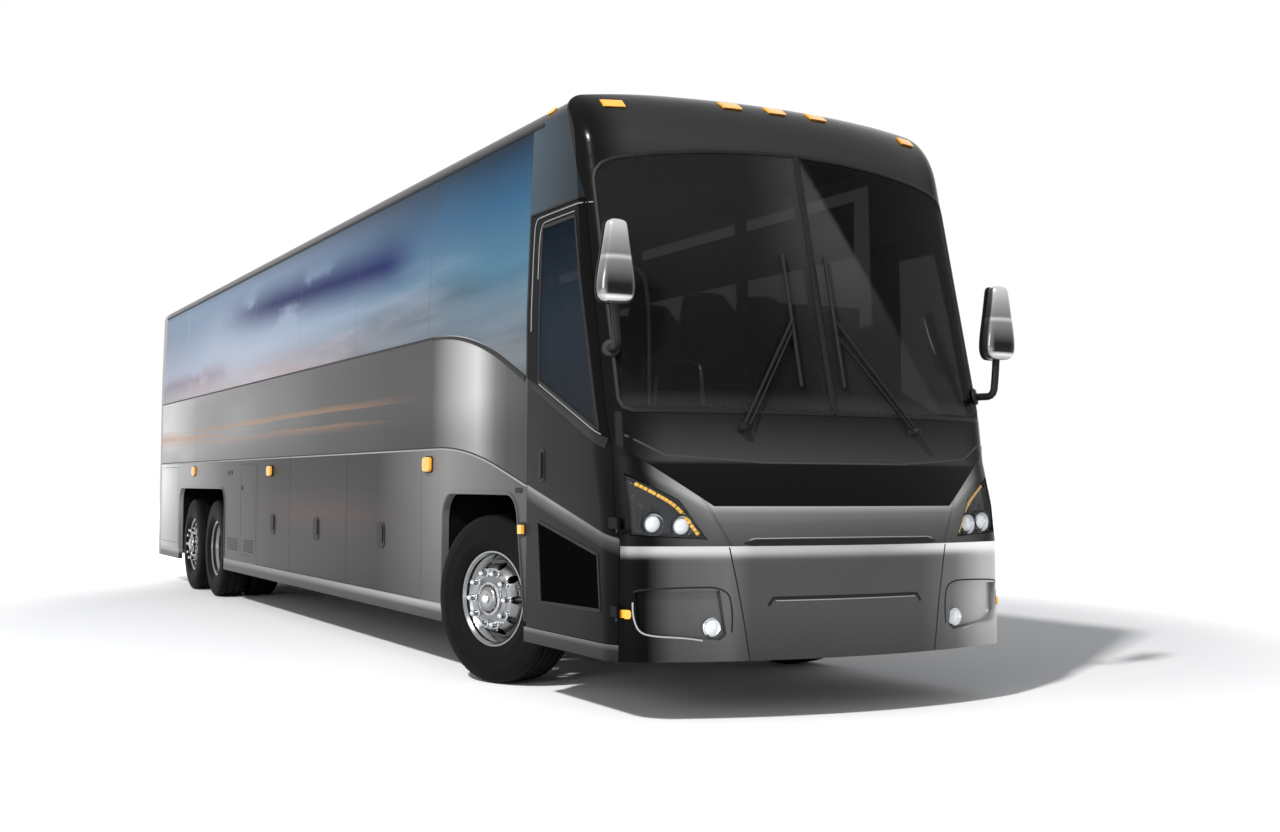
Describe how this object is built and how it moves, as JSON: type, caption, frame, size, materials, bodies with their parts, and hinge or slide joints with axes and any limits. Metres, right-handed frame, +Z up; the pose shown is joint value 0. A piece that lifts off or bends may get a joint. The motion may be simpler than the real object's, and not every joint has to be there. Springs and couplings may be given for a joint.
{
  "type": "three-axle coach bus",
  "caption": "Long-distance coach with a raked windscreen, swept belt line, sky-coloured window band, luggage bays under the floor and steered front wheels.",
  "frame": {"origin": "on the road, below the middle of the coach", "axes": "+X forward along the coach, +Y to its left side, +Z up"},
  "size_m": [13.8557, 2.8079, 3.5558],
  "materials": {
    "silver_paint": "satin metallic silver-grey paint",
    "black_gloss": "gloss black",
    "wrapped_glass": "flush bonded panes under a printed sky film",
    "clear_glass": "dark tinted glass",
    "chassis_steel": "black chassis paint",
    "cabin_lining": "dark grey moulded plastic and floor covering",
    "seat_fabric": "dark grey upholstery",
    "engine_iron": "painted castings",
    "wheel_alloy": "polished aluminium",
    "tyre_rubber": "dark grey rubber",
    "lamp_glass": "clear lens over a bright bowl",
    "amber_lens": "amber lens",
    "red_lens": "red lens",
    "mirror_chrome": "chrome shell",
    "wiper_black": "matt black"
  },
  "bodies": {
    "root": {"cabin_floor": "cabin_lining", "dashboard": "cabin_lining", "drive_axle": "chassis_steel", "engine": "engine_iron", "front_axle": "chassis_steel", "front_bumper": "silver_paint", "front_lamps": "lamp_glass", "front_mask": "black_gloss", "marker_lamps": "amber_lens", "mirrors": "mirror_chrome", "nose_panel": "silver_paint", "rear_bumper": "silver_paint", "rear_cap": "silver_paint", "rocker_rails": "silver_paint", "roof": "black_gloss", "seats": "seat_fabric", "side_glass": "wrapped_glass", "side_wall_left": "silver_paint", "side_wall_right": "silver_paint", "skirt_left": "silver_paint", "skirt_right": "silver_paint", "steering_wheel": "cabin_lining", "tag_axle": "chassis_steel", "tail_lamps": "red_lens", "bay_floor": "chassis_steel", "bulkheads": "chassis_steel", "wheel_houses": "chassis_steel", "underframe": "chassis_steel", "windscreen": "clear_glass", "wipers": "wiper_black"},
    "entry_door": {"entry_door": "black_gloss", "entry_door_glass": "clear_glass"},
    "engine_door": {"engine_door": "silver_paint"},
    "knuckle_left": {"knuckle_left": "chassis_steel"},
    "knuckle_right": {"knuckle_right": "chassis_steel"},
    "tie_rod": {"tie_rod": "chassis_steel"},
    "wheel_front_left": {"wheel_front_left": "wheel_alloy", "tyre_front_left": "tyre_rubber"},
    "wheel_front_right": {"wheel_front_right": "wheel_alloy", "tyre_front_right": "tyre_rubber"},
    "wheel_drive_left": {"wheel_drive_left": "wheel_alloy", "tyre_drive_left": "tyre_rubber"},
    "wheel_drive_right": {"wheel_drive_right": "wheel_alloy", "tyre_drive_right": "tyre_rubber"},
    "wheel_tag_left": {"wheel_tag_left": "wheel_alloy", "tyre_tag_left": "tyre_rubber"},
    "wheel_tag_right": {"wheel_tag_right": "wheel_alloy", "tyre_tag_right": "tyre_rubber"},
    "bay_arms_front_left": {"bay_arms_front_left": "chassis_steel"},
    "bay_door_front_left": {"bay_door_front_left": "silver_paint"},
    "bay_arms_front_right": {"bay_arms_front_right": "chassis_steel"},
    "bay_door_front_right": {"bay_door_front_right": "silver_paint"},
    "bay_arms_middle_left": {"bay_arms_middle_left": "chassis_steel"},
    "bay_door_middle_left": {"bay_door_middle_left": "silver_paint"},
    "bay_arms_middle_right": {"bay_arms_middle_right": "chassis_steel"},
    "bay_door_middle_right": {"bay_door_middle_right": "silver_paint"},
    "bay_arms_rear_left": {"bay_arms_rear_left": "chassis_steel"},
    "bay_door_rear_left": {"bay_door_rear_left": "silver_paint"},
    "bay_arms_rear_right": {"bay_arms_rear_right": "chassis_steel"},
    "bay_door_rear_right": {"bay_door_rear_right": "silver_paint"}
  },
  "joints": [
    {"name": "steer_left", "type": "hinge", "parent": "root", "child": "knuckle_left", "pos_m": [4.67, 0.95, 0.53], "axis": [0, 0, 1], "range_deg": [-63, 27]},
    {"name": "steer_right", "type": "hinge", "parent": "root", "child": "knuckle_right", "pos_m": [4.67, -0.95, 0.53], "axis": [0, 0, 1], "range_deg": [-63, 27]},
    {"name": "tie_rod_turn", "type": "hinge", "parent": "knuckle_left", "child": "tie_rod", "pos_m": [4.50832, 0.89747, 0.4], "axis": [0, 0, 1], "range_deg": [-27, 63]},
    {"name": "roll_front_left", "type": "hinge", "parent": "knuckle_left", "child": "wheel_front_left", "pos_m": [4.61901, 1.10692, 0.53], "axis": [-0.309, 0.9511, 0], "continuous": true},
    {"name": "roll_drive_left", "type": "hinge", "parent": "root", "child": "wheel_drive_left", "pos_m": [-3.42, 0.947, 0.53], "axis": [0, 1, 0], "continuous": true},
    {"name": "roll_tag_left", "type": "hinge", "parent": "root", "child": "wheel_tag_left", "pos_m": [-4.67, 1.115, 0.53], "axis": [0, 1, 0], "continuous": true},
    {"name": "roll_front_right", "type": "hinge", "parent": "knuckle_right", "child": "wheel_front_right", "pos_m": [4.72099, -1.10692, 0.53], "axis": [-0.309, 0.9511, 0], "continuous": true},
    {"name": "roll_drive_right", "type": "hinge", "parent": "root", "child": "wheel_drive_right", "pos_m": [-3.42, -0.947, 0.53], "axis": [0, 1, 0], "continuous": true},
    {"name": "roll_tag_right", "type": "hinge", "parent": "root", "child": "wheel_tag_right", "pos_m": [-4.67, -1.115, 0.53], "axis": [0, 1, 0], "continuous": true},
    {"name": "entry_door_swing", "type": "hinge", "parent": "root", "child": "entry_door", "pos_m": [6.642, -1.274, 1], "axis": [0, 0, 1], "range_deg": [0, 85]},
    {"name": "engine_door_lift", "type": "hinge", "parent": "root", "child": "engine_door", "pos_m": [-6.925, 0, 1.7425], "axis": [0, 1, 0], "range_deg": [0, 80]},
    {"name": "bay_arms_front_left_swing", "type": "hinge", "parent": "root", "child": "bay_arms_front_left", "pos_m": [2.68, 1.2, 1.04], "axis": [1, 0, 0], "range_deg": [0, 105]},
    {"name": "bay_door_front_left_level", "type": "hinge", "parent": "bay_arms_front_left", "child": "bay_door_front_left", "pos_m": [2.68, 1.2, 0.56], "axis": [1, 0, 0], "range_deg": [-105, 0]},
    {"name": "bay_arms_front_right_swing", "type": "hinge", "parent": "root", "child": "bay_arms_front_right", "pos_m": [2.68, -1.2, 1.04], "axis": [-1, 0, 0], "range_deg": [0, 105]},
    {"name": "bay_door_front_right_level", "type": "hinge", "parent": "bay_arms_front_right", "child": "bay_door_front_right", "pos_m": [2.68, -1.2, 0.56], "axis": [-1, 0, 0], "range_deg": [-105, 0]},
    {"name": "bay_arms_middle_left_swing", "type": "hinge", "parent": "root", "child": "bay_arms_middle_left", "pos_m": [0.87, 1.2, 1.04], "axis": [1, 0, 0], "range_deg": [0, 105]},
    {"name": "bay_door_middle_left_level", "type": "hinge", "parent": "bay_arms_middle_left", "child": "bay_door_middle_left", "pos_m": [0.87, 1.2, 0.56], "axis": [1, 0, 0], "range_deg": [-105, 0]},
    {"name": "bay_arms_middle_right_swing", "type": "hinge", "parent": "root", "child": "bay_arms_middle_right", "pos_m": [0.87, -1.2, 1.04], "axis": [-1, 0, 0], "range_deg": [0, 105]},
    {"name": "bay_door_middle_right_level", "type": "hinge", "parent": "bay_arms_middle_right", "child": "bay_door_middle_right", "pos_m": [0.87, -1.2, 0.56], "axis": [-1, 0, 0], "range_deg": [-105, 0]},
    {"name": "bay_arms_rear_left_swing", "type": "hinge", "parent": "root", "child": "bay_arms_rear_left", "pos_m": [-0.66, 1.2, 1.04], "axis": [1, 0, 0], "range_deg": [0, 105]},
    {"name": "bay_door_rear_left_level", "type": "hinge", "parent": "bay_arms_rear_left", "child": "bay_door_rear_left", "pos_m": [-0.66, 1.2, 0.56], "axis": [1, 0, 0], "range_deg": [-105, 0]},
    {"name": "bay_arms_rear_right_swing", "type": "hinge", "parent": "root", "child": "bay_arms_rear_right", "pos_m": [-0.66, -1.2, 1.04], "axis": [-1, 0, 0], "range_deg": [0, 105]},
    {"name": "bay_door_rear_right_level", "type": "hinge", "parent": "bay_arms_rear_right", "child": "bay_door_rear_right", "pos_m": [-0.66, -1.2, 0.56], "axis": [-1, 0, 0], "range_deg": [-105, 0]}
  ],
  "couplings": [
    {"joint": "steer_right", "follows": "steer_left", "ratio": 1},
    {"joint": "tie_rod_turn", "follows": "steer_left", "ratio": -1},
    {"joint": "bay_door_front_left_level", "follows": "bay_arms_front_left_swing", "ratio": -1},
    {"joint": "bay_door_front_right_level", "follows": "bay_arms_front_right_swing", "ratio": -1},
    {"joint": "bay_door_middle_left_level", "follows": "bay_arms_middle_left_swing", "ratio": -1},
    {"joint": "bay_door_middle_right_level", "follows": "bay_arms_middle_right_swing", "ratio": -1},
    {"joint": "bay_door_rear_left_level", "follows": "bay_arms_rear_left_swing", "ratio": -1},
    {"joint": "bay_door_rear_right_level", "follows": "bay_arms_rear_right_swing", "ratio": -1}
  ]
}
